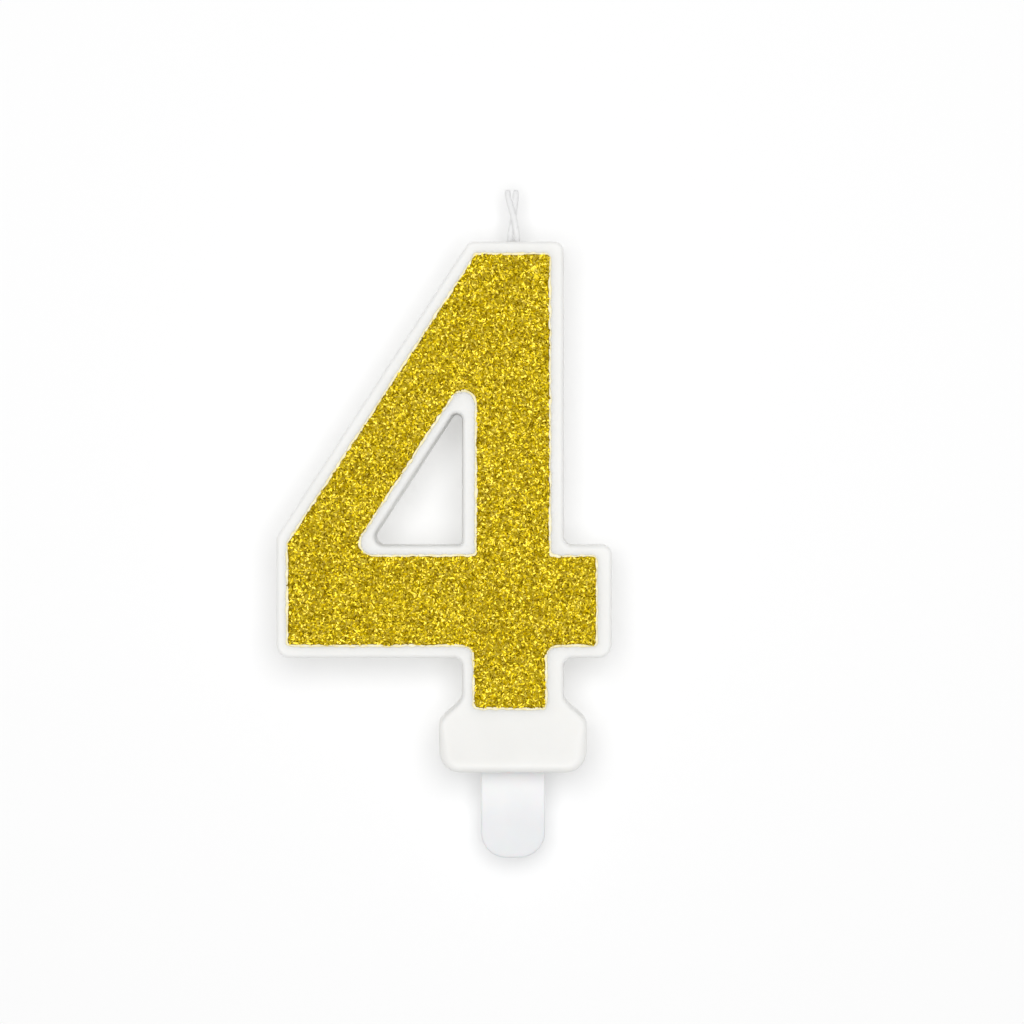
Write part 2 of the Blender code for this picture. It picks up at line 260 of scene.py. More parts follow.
class Finish:  # one material, built node by node
    def __init__(self, name):
        self.material = bpy.data.materials.new(name)
        self.material.use_nodes = True
        self.tree = self.material.node_tree
        self.tree.nodes.clear()

    def node(self, kind, settings, sockets, output=0):
        made = self.tree.nodes.new("ShaderNode" + kind)
        for key, value in settings.items():
            if key == "stops":
                self.setStops(made.color_ramp, value)
            else:
                setattr(made, key, value)
        for key, value in sockets.items():
            if isinstance(value, Wire):
                self.tree.links.new(value.socket, made.inputs[key])
            else:
                made.inputs[key].default_value = value
        return Wire(self, made.outputs[output]) if made.outputs else None

    def setStops(self, ramp, stops):
        while len(ramp.elements) < len(stops):
            ramp.elements.new(0.5)
        for element, (place, colour) in zip(ramp.elements, stops):
            element.position = place
            element.color = (*colour, 1)

    def place(self):
        return self.node("TexCoord", {}, {}, "Object")

    def noise(self, size, detail=3, roughness=0.5):
        # size is the spacing of its spots in millimetres
        settings = {"Scale": 1 / (size * mm), "Detail": detail, "Roughness": roughness}
        return self.node("TexNoise", {}, {"Vector": self.place(), **settings})

    def cells(self, size, output="Distance"):
        # size is the spacing of its cells in millimetres
        return self.node("TexVoronoi", {}, {"Vector": self.place(), "Scale": 1 / (size * mm)}, output)

    def stretched(self, low, high, value):
        # 0 below low, 1 above high, straight between
        limits = {"From Min": low, "From Max": high, "Value": value}
        return self.node("MapRange", {}, limits)

    def mixed(self, factor, first, second):
        return self.node("Mix", {"data_type": "RGBA"}, {0: factor, 6: (*first, 1), 7: (*second, 1)}, 2)

    def ramp(self, factor, stops):
        return self.node("ValToRGB", {"stops": stops}, {"Fac": factor})

    def bump(self, height, strength, distance):
        return self.node("Bump", {}, {"Height": height, "Strength": strength, "Distance": distance * mm})

    def surface(self, sockets):
        shader = self.node("BsdfPrincipled", {}, sockets)
        self.node("OutputMaterial", {}, {"Surface": shader})
        return self.material


waxLook = {
    "pale": (0.825, 0.822, 0.805),
    "deep": (0.80, 0.797, 0.776),
    "mottling": 7.0,  # the spacing of the clouds, the grain and the pits, in millimetres
    "grain": 0.35,
    "pits": 1.9,
    "glowDepth": 1.8 * mm,  # how far light spreads inside the wax
}


def waxFinish():
    finish = Finish("waxSatin")
    cloud = finish.noise(waxLook["mottling"], 4, 0.55)
    grain = finish.noise(waxLook["grain"], 3, 0.6)
    pits = 1 - finish.stretched(0.02, 0.09, finish.cells(waxLook["pits"]))
    colour = finish.mixed(finish.stretched(0.3, 0.7, cloud), waxLook["deep"], waxLook["pale"])
    height = cloud * 0.8 + grain * 0.12 - pits * 0.25
    return finish.surface({
        "Base Color": colour,
        "Roughness": 0.36 + grain * 0.16,
        "IOR": 1.44,
        "Subsurface Weight": 0.7,
        "Subsurface Radius": (1.0, 0.97, 0.93),
        "Subsurface Scale": waxLook["glowDepth"],
        "Normal": finish.bump(height, 0.22, 0.25),
    })


glueLook = {"clear": (0.88, 0.84, 0.62), "yellowed": (0.86, 0.76, 0.38), "spots": 0.7}


def glueFinish():
    finish = Finish("glueDried")
    spots = finish.noise(glueLook["spots"], 3, 0.6)
    colour = finish.mixed(finish.stretched(0.35, 0.65, spots), glueLook["clear"], glueLook["yellowed"])
    return finish.surface({
        "Base Color": colour,
        "Roughness": 0.16 + spots * 0.2,
        "IOR": 1.48,
        "Normal": finish.bump(spots, 0.5, 0.08),
    })


glitterLook = {
    "tones": [  # painted reflection: from a flake drawn as throwing no light forward to the brightest
        (0.0, (0.18, 0.108, 0.0)),
        (0.25, (0.30, 0.20, 0.0)),
        (0.5, (0.50, 0.37, 0.005)),
        (0.75, (0.70, 0.54, 0.03)),
        (1.0, (0.77, 0.60, 0.08)),
    ],
    "fleck": 0.3,
    "shine": 0.2,
    "dust": 0.25,
}


def flakeFinish():
    finish = Finish("glitterFlakes")
    tone = finish.node("Attribute", {"attribute_name": "tone"}, {}, "Fac")
    shine = finish.noise(glitterLook["shine"], 1)
    return finish.surface({
        # the base colour carries painted reflection, brighter for flakes drawn as facing the light
        "Base Color": finish.ramp(tone, glitterLook["tones"]),
        "Metallic": 0.5,
        "Roughness": 0.26 + shine * 0.2,
        "Specular IOR Level": 0.0,
        "Specular Tint": (1.0, 0.85, 0.35, 1),
    })


def bedFinish():
    finish = Finish("glitterBed")
    flecks = finish.node("SeparateColor", {}, {0: finish.cells(glitterLook["fleck"], "Color")}, 0)
    dust = finish.noise(glitterLook["dust"], 3, 0.6)
    return finish.surface({
        "Base Color": finish.ramp(flecks * 0.45 + dust * 0.2, glitterLook["tones"]),
        "Metallic": 0.4,
        "Roughness": 0.35 + dust * 0.2,
        "Specular IOR Level": 0.15,
        "Normal": finish.bump(flecks, 0.8, 0.1),
    })


cottonLook = {
    "lit": (0.88, 0.88, 0.88),
    # the grooves between the fibres, painted in shade
    "between": (0.80, 0.80, 0.80),
    "fibres": 26,  # lines round the ply
    "turns": 18.0,  # lines passed in a millimetre along it
    "fluff": 0.12,
}


def cottonFinish():
    # fine slanting lines: the sine of u and v of the ply's own map, where v counts millimetres
    finish = Finish("cottonWaxed")
    plyMap = finish.node("UVMap", {"uv_map": "ply"}, {})
    around = finish.node("SeparateXYZ", {}, {0: plyMap}, 0)
    along = finish.node("SeparateXYZ", {}, {0: plyMap}, 1)
    turned = around * cottonLook["fibres"] + along * cottonLook["turns"]
    lines = finish.node("Math", {"operation": "SINE"}, {0: turned * (2 * math.pi)}) * 0.5 + 0.5
    fluff = finish.noise(cottonLook["fluff"], 4, 0.7)
    height = lines * 0.6 + fluff * 0.6
    return finish.surface({
        # the raised fibres are painted lit and the grooves between them painted in shade
        "Base Color": finish.mixed(height * 0.7, cottonLook["between"], cottonLook["lit"]),
        "Roughness": 0.55 + fluff * 0.3,
        "Normal": finish.bump(height, 0.5, 0.03),
    })


pickLook = {
    "clear": (0.775, 0.79, 0.805),
    "milky": (0.92, 0.925, 0.925),
    "clouds": 5.0,  # the spacing of the clouds and of the frosting, in millimetres
    "frosting": 0.12,
    "paintedLightFrom": -7 * mm,  # painted light: the strip is painted milkier and lighter nearer the foot, where the foot shades it
    "paintedLightTo": 0.5 * mm,
    "glowDepth": 1.0 * mm,
}


def pickFinish():
    finish = Finish("plasticFrosted")
    clouds = finish.noise(pickLook["clouds"], 3, 0.5)
    frosting = finish.noise(pickLook["frosting"], 2, 0.6)
    height = finish.node("SeparateXYZ", {}, {0: finish.place()}, 2)
    # painted light that grows towards the foot, against the foot's shade
    paintedLightNearFoot = finish.stretched(pickLook["paintedLightFrom"], pickLook["paintedLightTo"], height)
    cloudsAndPaintedLight = paintedLightNearFoot * 0.8 + finish.stretched(0.3, 0.7, clouds) * 0.2
    colour = finish.mixed(cloudsAndPaintedLight, pickLook["clear"], pickLook["milky"])
    return finish.surface({
        "Base Color": colour,
        "Roughness": 0.42 + frosting * 0.2,
        "IOR": 1.49,
        "Transmission Weight": 0.08,
        "Subsurface Weight": 0.15,
        "Subsurface Scale": pickLook["glowDepth"],
        "Normal": finish.bump(frosting + clouds * 2, 0.25, 0.03),
    })


# ---- the wax casting

casting = {
    "depth": 9.0 * mm,
    "stemWidth": 13.3 * mm,
    "barBottom": 15.1 * mm,
    "barHeight": 14.8 * mm,
    "tipRise": 1.1 * mm,
    "slantTop": 5.8 * mm,
    "stroke": 10.6 * mm,
    "corner": 1.2 * mm,
    "barLowCorner": 1.7 * mm,
    "counterCorner": 0.6 * mm,
    "counterTop": 0.8 * mm,
    "edge": 0.5 * mm,
    "footEdge": 1.2 * mm,
    "backEdge": 0.45 * mm,
    "draft": 0.16 * mm,  # how much further out the back of the casting lies on each side
    "footWidth": 19.4 * mm,
    "footDepth": 12.0 * mm,
    "footSide": 6.1 * mm,
    "shoulder": 4.1 * mm,
    "footCorner": 2.8 * mm,
    "flareTop": 7.95 * mm,  # where the foot's front and back leave the numeral's
    "flare": 7.4 * mm,
    "flarePower": 1.5,
    "edgeBlend": 6.0 * mm,  # the height over which the edge grows into the foot's edge
    "sink": 0.3 * mm,  # the poured back settles a little as it cools
    "ripple": 0.02 * mm,
    "step": 0.5 * mm,
    "bellHeight": 0.34 * mm,  # wax that creeps up the wick
    "bellRadius": 0.62 * mm,
    "bellStretch": 1.35,
    "slotGap": 0.3 * mm,
}
stemHalf = casting["stemWidth"] / 2
numeralTop = waxBox[1][2]
barLeft = -waxBox[0][0]
barRight = waxBox[1][0]
barTop = casting["barBottom"] + casting["barHeight"]
faceY = -casting["depth"] / 2


def numeralCorners(bottom):
    # anticlockwise seen from the face, from the stem's lower left corner
    low, slant, tip = casting["barBottom"], casting["slantTop"], barTop + casting["tipRise"]
    return np.array([
        (-stemHalf, bottom), (stemHalf, bottom), (stemHalf, low), (barRight, low), (barRight, barTop),
        (stemHalf, barTop), (stemHalf, numeralTop), (-slant, numeralTop), (-barLeft, tip),
        (-barLeft, low), (-stemHalf, low),
    ])


def counterCorners():
    # left, beside the stem, and top: the slanted side runs one stroke inside the outer slanted side
    outer = numeralCorners(0)[7:9]
    along = unit(outer[1] - outer[0])
    slant = outer + np.array((-along[1], along[0])) * casting["stroke"]
    level = np.array([(-barLeft, barTop), (0, barTop)])
    stem = np.array([(-stemHalf, barTop), (-stemHalf, numeralTop)])
    return np.array([lineMeeting(*slant, *level), (-stemHalf, barTop), lineMeeting(*slant, *stem)])


def footHalfWidth(z):
    # straight up from the bottom corners, then half a cosine wave in to the stem
    part = np.clip((z - casting["footSide"]) / casting["shoulder"], 0, 1)
    full = casting["footWidth"] / 2
    return full + (stemHalf - full) * (1 - np.cos(part * math.pi)) / 2


def castingOutline():
    # the numeral above, and below it one side of the foot, its mirror image and the two bottom corners
    joined = casting["footSide"] + casting["shoulder"]
    corners = numeralCorners(joined)
    radii = [0, 0] + [casting["corner"]] * 9
    radii[3] = radii[9] = casting["barLowCorner"]
    # the first two corners are only where the stem joins the foot, so they are left out
    arcs = roundedOutline(corners, radii).reshape(len(corners), -1, 2)
    numeral = arcs[2:].reshape(-1, 2)
    rise = np.linspace(joined, casting["footSide"], 15)
    side = np.stack([footHalfWidth(rise), rise], 1)
    turn = np.linspace(0, math.pi / 2, 14)
    radius = casting["footCorner"]
    corner = np.stack([
        casting["footWidth"] / 2 - radius + radius * np.cos(turn), radius - radius * np.sin(turn)
    ], 1)
    right = np.concatenate([side, corner])
    left = right * (-1, 1)
    return evenSteps(np.concatenate([numeral, left, right[::-1]]), casting["step"])


def counterOutline():
    # the counter's rounded triangle, turned clockwise because it is a hole
    rounding = [casting["corner"], casting["counterCorner"], casting["counterTop"]]
    return evenSteps(roundedOutline(counterCorners(), rounding), casting["step"])[::-1]


def halfDepth(z):
    # half the numeral's depth, plus a power of the way down the flare times what the foot adds
    part = np.clip((casting["flareTop"] - z) / casting["flare"], 0, 1)
    added = (casting["footDepth"] - casting["depth"]) / 2
    return casting["depth"] / 2 + added * part ** casting["flarePower"]


def carryCasting(outline):
    # a quarter circle at the face, a wall that leans out by the draft, and a quarter circle at the back
    frontRows, wallRows, backRows = 8, 16, 6
    normals = outwardNormals(outline)
    part = smoothStep((casting["flareTop"] - outline[:, 1]) / casting["edgeBlend"])
    front = casting["edge"] + (casting["footEdge"] - casting["edge"]) * part
    back, lean = casting["backEdge"], casting["draft"]
    turn = np.linspace(0, math.pi / 2, frontRows)
    wall = np.linspace(0, 1, wallRows + 2)[1:-1]
    turnBack = np.linspace(0, math.pi / 2, backRows)
    fade = smoothStep((outline[:, 1] - 0.5 * mm) / (3 * mm))  # no draft at the underside
    rounding = np.concatenate([np.sin(turn) - 1, wall * 0])[:, None] * front
    shift = np.concatenate([rounding, (np.cos(turnBack) - 1)[:, None] * np.full(len(outline), back)])
    grown = np.concatenate([turn * 0, wall, turnBack * 0 + 1]) * lean
    spread = shift + grown[:, None] * fade
    around = outline + normals * spread[..., None]
    half = halfDepth(around[..., 1])
    length = 2 * half - front - back
    wallEnd = frontRows + wallRows
    y = np.concatenate([
        -half[:frontRows] + front * (1 - np.cos(turn))[:, None],
        -half[frontRows:wallEnd] + front + wall[:, None] * length[frontRows:wallEnd],
        half[wallEnd:] - back + (back * np.sin(turnBack))[:, None],
    ])
    x, z = around[..., 0], around[..., 1]
    ripple = casting["ripple"] * softWave(x + 3 * y, z - 2 * y, 9 * mm, 4) * smoothStep(z / (2 * mm))
    x, z = x + normals[:, 0] * ripple, z + normals[:, 1] * ripple
    return np.stack([x, y, z], 2)


def climbWick(piece):
    # wax creeps up the wick: the flat top rises by a bell, e to the minus distance squared
    mesh = piece.data
    places = np.empty(len(mesh.vertices) * 3, np.float32)
    mesh.vertices.foreach_get("co", places)
    places = places.reshape(-1, 3)
    top = places[:, 2] > numeralTop - 0.3 * mm
    away = np.hypot(places[:, 0] / casting["bellStretch"], places[:, 1]) / casting["bellRadius"]
    places[:, 2] += top * casting["bellHeight"] * np.exp(-(away ** 2))
    mesh.vertices.foreach_set("co", places.ravel())
    mesh.update()


def cutSlot(piece):
    # the slot for the tongue, wider than it by the gap all round, cut from 1 mm below the foot
    gap = casting["slotGap"]
    x, y, top = pickBox[1][0] + gap, pickBox[1][1] + gap, pickBox[1][2] + gap
    level = ((-x, -y), (x, -y), (x, y), (-x, y))
    corners = np.array([(a, b, c) for c in (-1 * mm, top) for a, b in level])
    sides = np.array([(3, 2, 1, 0), (4, 5, 6, 7), (0, 1, 5, 4), (1, 2, 6, 5), (2, 3, 7, 6), (3, 0, 4, 7)])
    cutter = meshPiece("slotCutter", corners, [sides])
    cut = piece.modifiers.new("slot", "BOOLEAN")
    cut.object = cutter
    cut.operation = "DIFFERENCE"
    cut.solver = "EXACT"
    solved = piece.evaluated_get(bpy.context.evaluated_depsgraph_get())
    whole = bpy.data.meshes.new_from_object(solved)
    piece.modifiers.clear()
    piece.data = whole
    bpy.data.objects.remove(cutter)
    whole.shade_smooth()
    whole.set_sharp_from_angle(angle=math.radians(50))


def makeWax():
    def front(x, z, inward):
        # the face, with a ripple that fades out at its rim
        ripple = casting["ripple"] * softWave(x, z, 7 * mm, 2) * smoothStep(inward / (1.2 * mm))
        return -halfDepth(z) + ripple

    def poured(x, z, inward):
        # the back, sunk by more away from its rim, with twice the ripple
        sink = casting["sink"] * smoothStep(inward / (3.5 * mm))
        ripple = 2 * casting["ripple"] * softWave(x, z, 5 * mm, 3) * smoothStep(inward / mm)
        return halfDepth(z) - sink - ripple

    outlines = [castingOutline(), counterOutline()]
    piece = platePiece("waxCasting", outlines, carryCasting, front, poured, casting["step"] * 1.2)
    climbWick(piece)
    cutSlot(piece)
    return piece


# ---- the glitter face

face = {
    "rim": 1.7 * mm,  # bare wax on the top, slanted and lower sides
    "rimLeft": 1.5 * mm,
    "rimStem": 1.85 * mm,
    "rimEnd": 2.05 * mm,
    "rimArm": 1.45 * mm,
    "rimNeckLeft": 1.55 * mm,
    "rimNeckRight": 2.35 * mm,
    "rimCounter": 1.4 * mm,
    "bottom": 8.5 * mm,
    "corner": 0.5 * mm,
    "neckCorner": 1.6 * mm,
    "counterCorner": 1.8 * mm,
    "spacing": 0.3 * mm,
    "glueMargin": 0.25 * mm,  # how far the glue reaches past the field, and the bed and flakes stay inside
    "bedMargin": -0.04 * mm,
    "flakeMargin": -0.08 * mm,
    "glueRise": 0.1 * mm,
    "bedRise": 0.3 * mm,
    "sunk": 0.05 * mm,  # how far a layer's back lies inside the one behind it
    "glueRagged": 0.09 * mm,
    "ragged": 0.1 * mm,
    "pitch": 0.31 * mm,
    "jitter": 0.22,  # in pitches
    "steepest": 72,  # in degrees
    "scatter": 0.09 * mm,  # how much higher the highest flakes of a layer lie
    "point": 0.07 * mm,  # how deep the point behind a flake goes
    "flakeRadius": (0.11 * mm, 0.165 * mm),
    "flakeLength": (1.3, 3.4),  # in flake widths
}


def fieldOutlines(margin):
    # each side moved in by its own rim of bare wax, less the margin
    rim, stem, around = face["rim"], face["rimStem"], face["rimCounter"]
    rims = [
        margin, face["rimNeckRight"], rim, face["rimEnd"], face["rimArm"], stem,
        rim, rim, face["rimLeft"], rim, face["rimNeckLeft"],
    ]
    rounding = [face["corner"] + margin] * 11
    rounding[2] = rounding[10] = face["neckCorner"] - margin
    outer = insetOutline(numeralCorners(face["bottom"] - margin), np.array(rims) - margin)
    hole = insetOutline(counterCorners(), margin - np.array([around, stem, around]))
    wide = face["counterCorner"] - margin
    holeRounding = [wide, casting["counterCorner"], wide]
    return [
        evenSteps(roundedOutline(outer, rounding), face["spacing"]),
        evenSteps(roundedOutline(hole, holeRounding), face["spacing"])[::-1],
    ]


def raggedOutlines(margin, amount, seed):
    # the field's outlines, pushed in and out along their normals by two sizes of wave
    found = []
    for outline in fieldOutlines(margin):
        x, z = outline.T
        push = softWave(x, z, 1.1 * mm, seed) + 0.7 * softWave(x, z, 3.5 * mm, seed + 1)
        found.append(outline + outwardNormals(outline) * (push * amount)[:, None])
    return found


def makeFilm(name, outlines, low, high, roughness, seed, step):
    # a thin flat layer with a rounded rim, from low to high in front of the wax face
    def carry(outline):
        # a quarter circle, then straight back
        turn = np.linspace(0, math.pi / 2, 5)
        rise = high - low
        out = np.concatenate([rise * (np.sin(turn) - 1), [0.0]])
        y = np.concatenate([-high + rise * (1 - np.cos(turn)), [-low + face["sunk"]]])
        around = outline + outwardNormals(outline) * out[:, None, None]
        x, z = around[..., 0], around[..., 1]
        return np.stack([x, np.broadcast_to(faceY + y[:, None], x.shape), z], 2)

    def front(x, z, inward):
        # the layer's height, roughened by waves that fade out at its rim
        return faceY - high - roughness * softWave(x, z, 0.8 * mm, seed) * smoothStep(inward / (0.3 * mm))

    def back(x, z, inward):
        # flat, a little inside what lies behind
        return faceY - low + face["sunk"] + 0 * x

    return platePiece(name, outlines, carry, front, back, step)


def makeFlakes(name, height, tilt, paintedLayerLight, seed):
    # hexagons on a staggered grid, each pushed off it, leaned, turned and stretched at random,
    # and each closed by a point behind it that sits in the bed
    draw = np.random.default_rng(seed)
    outlines = raggedOutlines(face["flakeMargin"], face["ragged"], 21)
    low, high = outlines[0].min(0), outlines[0].max(0)
    pitch = face["pitch"]
    x, z = np.meshgrid(np.arange(low[0], high[0], pitch), np.arange(low[1], high[1], pitch * 0.866))
    x[1::2] += pitch / 2
    spots = np.stack([x.ravel(), z.ravel()], 1) + draw.uniform(0, pitch, 2)
    spots = spots + draw.normal(0, pitch * face["jitter"], spots.shape)
    spots = spots[insideFace(spots, outlines)]
    count = len(spots)
    lean = np.radians(np.clip(np.abs(draw.normal(0, tilt, count)), 0, face["steepest"]))
    toward = draw.uniform(0, 2 * math.pi, count)
    normal = np.stack([np.sin(lean) * np.cos(toward), -np.cos(lean), np.sin(lean) * np.sin(toward)], 1)
    helper = unit(draw.normal(0, 1, (count, 3)))
    first = unit(np.cross(normal, helper))
    second = np.cross(normal, first)
    radius = draw.uniform(*face["flakeRadius"], count)
    stretch = draw.uniform(*face["flakeLength"], count) ** 0.5
    lift = faceY - face["bedRise"] - height - draw.uniform(0.0, face["scatter"], count)
    centre = np.stack([spots[:, 0], lift, spots[:, 1]], 1)
    angle = np.arange(6) * math.pi / 3
    rim = (
        centre[:, None]
        + first[:, None] * (np.cos(angle) * (radius * stretch)[:, None])[..., None]
        + second[:, None] * (np.sin(angle) * (radius / stretch)[:, None])[..., None]
    )
    tip = centre - normal * face["point"]
    places = np.concatenate([rim, tip[:, None]], 1).reshape(-1, 3)
    deepest = faceY + 0.02 * mm  # no flake goes further into the wax
    places[:, 1] = np.minimum(places[:, 1], deepest)
    flat = np.array([(0, 1, 2), (0, 2, 3), (0, 3, 4), (0, 4, 5)])
    cone = np.array([(n, 6, (n + 1) % 6) for n in range(6)])
    shape = np.concatenate([flat, cone])
    faces = (np.arange(count)[:, None, None] * 7 + shape).reshape(-1, 3)
    turned = np.einsum("ij,ij->i", np.cross(rim[:, 1] - rim[:, 0], rim[:, 2] - rim[:, 0]), normal) < 0
    flipped = np.repeat(turned, len(shape))
    faces[flipped] = faces[flipped][:, ::-1]
    piece = meshPiece(name, places, [faces])
    piece.data.shade_flat()
    # painted reflection: how much of the light this flake is drawn as throwing forward, spread wide
    # because each lies its own way
    turnedToLight = 0.15 * np.sin(lean) * np.cos(toward - 1.0)
    tone = np.clip(draw.beta(1.2, 1.2, count) + turnedToLight + paintedLayerLight, 0, 1)
    layer = piece.data.attributes.new("tone", "FLOAT", "POINT")
    layer.data.foreach_set("value", np.repeat(tone, 7).astype(np.float32))
    # each flake has its own cell of a square sheet, drawn flat, with room around it
    side = math.ceil(math.sqrt(count))
    cell = np.stack([np.arange(count) % side, np.arange(count) // side], 1) + 0.5
    drawn = np.concatenate([np.stack([np.cos(angle), np.sin(angle)], 1), [(0.0, 0.0)]]) * 0.42
    sheet = (cell[:, None] + drawn) / side
    corners = sheet.reshape(-1, 2)[faces.ravel()]
    piece.data.uv_layers.new(name="OFBake").data.foreach_set("uv", corners.astype(np.float32).ravel())
    return piece


# ---- the wick

wick = {
    "free": wickBox[1][2] - numeralTop,
    "bottom": wickBox[0][2],
    "ply": 0.78 * mm,
    "spacing": 0.92 * mm,
    "pitch": 14 * mm,
    "splay": 0.08 * mm,
    "offset": 0.08 * mm,
    "lean": 0.25 * mm,
    "lobes": 3,
    "lobeDepth": 0.10,
    "lobePitch": 2.6 * mm,
    "tipRounding": 0.3 * mm,
    "tipSize": 0.62,  # in ply widths
    "fibres": 46,
}


def plyPath(z, ply):
    # a helix, side by side where it leaves the wax, and opening towards the tip
    above = z - numeralTop
    turn = 2 * math.pi * above / wick["pitch"] + math.pi * ply
    opened = smoothStep((above - wick["free"] / 2) / (wick["free"] / 2))
    radius = wick["spacing"] / 2 + wick["splay"] * opened
    leaned = wick["offset"] - wick["lean"] * smoothStep(above / wick["free"] * 1.7 - 0.7)
    return np.stack([leaned - radius * np.cos(turn), radius * np.sin(turn), z], 1)


def tubeSurface(path, radius, first):
    # rings round the path, in the plane across it, with a point on the path at each end
    along = unit(np.gradient(path, axis=0))
    right = unit(np.cross(along, (0, 1, 0)))
    ahead = np.cross(along, right)
    count = radius.shape[1]
    angle = np.arange(count) * 2 * math.pi / count
    ring = right[:, None] * np.cos(angle)[:, None] + ahead[:, None] * np.sin(angle)[:, None]
    rings = path[:, None] + ring * radius[..., None]
    places = np.concatenate([rings.reshape(-1, 3), path[:1], path[-1:]])
    n = np.arange(count)
    m = np.roll(n, -1)
    base = np.arange(len(path) - 1)[:, None] * count
    strips = np.stack([base + n, base + m, base + count + m, base + count + n], 2).reshape(-1, 4)
    last = (len(path) - 1) * count
    low = np.stack([m, n, np.full(count, len(path) * count)], 1)
    high = np.stack([last + n, last + m, np.full(count, len(path) * count + 1)], 1)
    return places, strips + first, np.concatenate([low, high]) + first


def makePly(name, ply):
    # a tube whose radius is the ply's, times the lobes' bent cosine, a slow wave and the tip's closing
    inside = np.arange(wick["bottom"], numeralTop - mm, 0.5 * mm)
    outside = np.linspace(numeralTop - mm, numeralTop + wick["free"], 120)
    z = np.concatenate([inside, outside])
    path = plyPath(z, ply)
    count = 30
    around = np.arange(count) * 2 * math.pi / count
    twist = 2 * math.pi * z / wick["lobePitch"] + ply
    bulge = np.abs(np.cos(wick["lobes"] * (around - twist[:, None]) / 2)) ** 0.6 * 1.6
    lobes = 1 - wick["lobeDepth"] + wick["lobeDepth"] * bulge
    uneven = 1 + 0.04 * softWave(z, z * 0, 1.7 * mm, 60 + ply)
    tip = numeralTop + wick["free"] - z
    size = wick["tipSize"]
    closing = size + (1 - size) * np.sqrt(np.clip(tip / wick["tipRounding"], 0, 1))
    radius = wick["ply"] / 2 * lobes * (uneven * closing)[:, None]
    places, strips, caps = tubeSurface(path, radius, 0)
    piece = meshPiece(name, places, [strips, caps])
    # u runs once round the ply and v counts millimetres along it
    columns = np.concatenate([np.tile(np.arange(count) / count, len(z)), [0.5, 0.5]])
    rows = np.concatenate([np.repeat(z, count), z[:1], z[-1:]]) / mm
    corners = np.concatenate([strips.ravel(), caps.ravel()])
    u, v = columns[corners], rows[corners]
    starts = np.concatenate([np.repeat(u[: strips.size].reshape(-1, 4).max(1), 4), np.ones(caps.size)])
    u = np.where((starts > 0.9) & (u < 0.1), u + 1, u)
    layer = piece.data.uv_layers.new(name="ply")
    layer.data.foreach_set("uv", np.stack([u, v], 1).astype(np.float32).ravel())
    return piece


def makeFibres():
    # loose ends at the two tips and a few hairs along the plies, each a thin tube on a bent path
    draw = np.random.default_rng(71)
    places, strips, caps, first = [], [], [], 0
    for n in range(wick["fibres"]):
        ply = n % 2
        atTip = n < wick["fibres"] * 0.6
        start = numeralTop + (wick["free"] - 0.25 * mm if atTip else draw.uniform(1, 6) * mm)
        core = plyPath(np.array([start]), ply)[0]
        turn = draw.uniform(0, 2 * math.pi)
        out = np.array((math.cos(turn), math.sin(turn), 0))
        t = np.linspace(0, 1, 7)[:, None]
        reach = draw.uniform(0.05, 0.3) * mm if atTip else draw.uniform(0.1, 0.2) * mm
        rise = draw.uniform(0.2, 0.45) * mm if atTip else draw.uniform(0.4, 0.9) * mm
        root = core + out * wick["ply"] * (draw.uniform(0.05, 0.4) if atTip else 0.42)
        path = root + out * reach * t ** 1.7 + np.array((0, 0, 1)) * rise * t
        path[:, 2] = np.minimum(path[:, 2], numeralTop + wick["free"] + 0.2 * mm * draw.uniform(0.2, 1))
        path[:, 2] += np.linspace(0, 0.01 * mm, 7)  # keeps a clipped path climbing
        radius = np.repeat((0.022 - 0.01 * t) * mm, 4, 1)
        made = tubeSurface(path, radius, first)
        for group, part in zip((places, strips, caps), made):
            group.append(part)
        first += len(made[0])
    return meshPiece("wickFibres", np.concatenate(places), [np.concatenate(strips), np.concatenate(caps)])


# ---- the pick

pick = {
    "tipCorner": 3.4 * mm,
    "tongueCorner": 1.0 * mm,
    "edge": 0.25 * mm,
    "step": 0.55 * mm,
    "waviness": 0.015 * mm,
}


def makePick():
    # the strip's outline, carried from its front to its back, with a slow wave over both flat sides
    (left, front, low), (right, back, high) = pickBox
    corners = np.array([(left, low), (right, low), (right, high), (left, high)])
    radii = [pick["tipCorner"], pick["tipCorner"], pick["tongueCorner"], pick["tongueCorner"]]
    outline = evenSteps(roundedOutline(corners, radii, 16), pick["step"])

    def carry(outline):
        # a quarter circle, a flat wall and a quarter circle
        turn = np.linspace(0, math.pi / 2, 5)
        edge = pick["edge"]
        out = np.concatenate([edge * (np.sin(turn) - 1), [0.0], edge * (np.cos(turn) - 1)])
        y = np.concatenate([
            front + edge * (1 - np.cos(turn)), [(front + back) / 2], back - edge + edge * np.sin(turn)
        ])
        around = outline + outwardNormals(outline) * out[:, None, None]
        x, z = around[..., 0], around[..., 1]
        return np.stack([x, np.broadcast_to(y[:, None], x.shape), z], 2)

    def ahead(x, z, inward):
        return front + pick["waviness"] * softWave(x, z, 6 * mm, 9) * smoothStep(inward / mm)

    def behind(x, z, inward):
        return back - pick["waviness"] * softWave(x, z, 6 * mm, 10) * smoothStep(inward / mm)

    return platePiece("pickStrip", [outline], carry, ahead, behind, pick["step"])


# ---- putting it together


def place(piece, body, slot, material, *nodes):
    # the piece gets its finish and its body, and stands in for the named nodes
    piece.data.materials.clear()
    piece.data.materials.append(material)
    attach(piece, body)
    if nodes:
        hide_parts(*nodes)
    return piece


pieces = []
pieces.append(place(makeWax(), "candle", "wax", waxFinish(), "wax_body"))
print("wax casting done:", len(pieces[-1].data.polygons), "faces")

